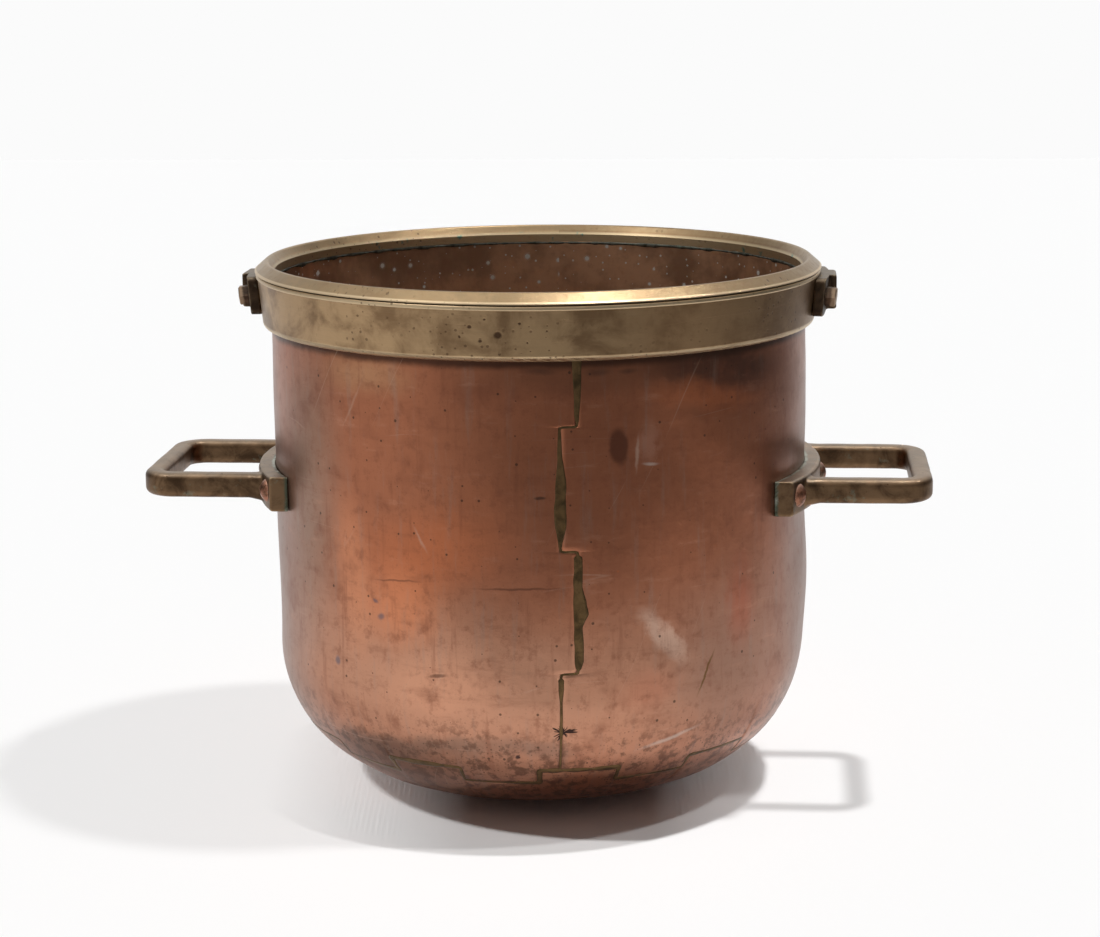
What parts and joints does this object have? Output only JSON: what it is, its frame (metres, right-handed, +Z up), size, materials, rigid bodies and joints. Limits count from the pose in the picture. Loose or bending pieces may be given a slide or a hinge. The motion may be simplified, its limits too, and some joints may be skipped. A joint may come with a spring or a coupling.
{
  "type": "copper pot",
  "caption": "Large old copper cooking pot with a rounded bottom, toothed brazed seams, a heavy brass rim ring, riveted bronze loop handles and bolted lugs on the ring.",
  "frame": {"origin": "middle of the small flat that the pot stands on, at the bottom centre of its box", "axes": "+Z up along the pot's axis, +X towards the right handle as seen from the side seam, -Y towards the side seam"},
  "size_m": [0.662, 0.476, 0.4469],
  "materials": {
    "copper": "old copper sheet, worn satin with brown patina",
    "braze": "dull green-brown brazing brass",
    "rim_brass": "turned brass, satin, tarnished olive with bright edges",
    "solder": "grey soft solder with verdigris",
    "bronze": "cast bronze, dark brown patina, rubbed edges",
    "lug_bronze": "cast bronze, dark grey-brown patina",
    "rivet_copper": "copper, rubbed bright on the dome",
    "bolt": "dark bolt metal, worn edges"
  },
  "bodies": {
    "root": {"kettle_wall": "copper", "kettle_bottom": "copper", "side_seam_braze": "braze", "bottom_seam_braze": "braze", "rim_ring": "rim_brass", "rim_solder": "solder", "handle_right": "bronze", "handle_left": "bronze", "lug_right": "lug_bronze", "lug_left": "lug_bronze", "rivet_right_front": "rivet_copper", "rivet_right_centre": "rivet_copper", "rivet_right_rear": "rivet_copper", "lug_bolt_right_front": "bolt", "lug_bolt_right_rear": "bolt", "rivet_left_front": "rivet_copper", "rivet_left_centre": "rivet_copper", "rivet_left_rear": "rivet_copper", "lug_bolt_left_front": "bolt", "lug_bolt_left_rear": "bolt"}
  },
  "joints": []
}
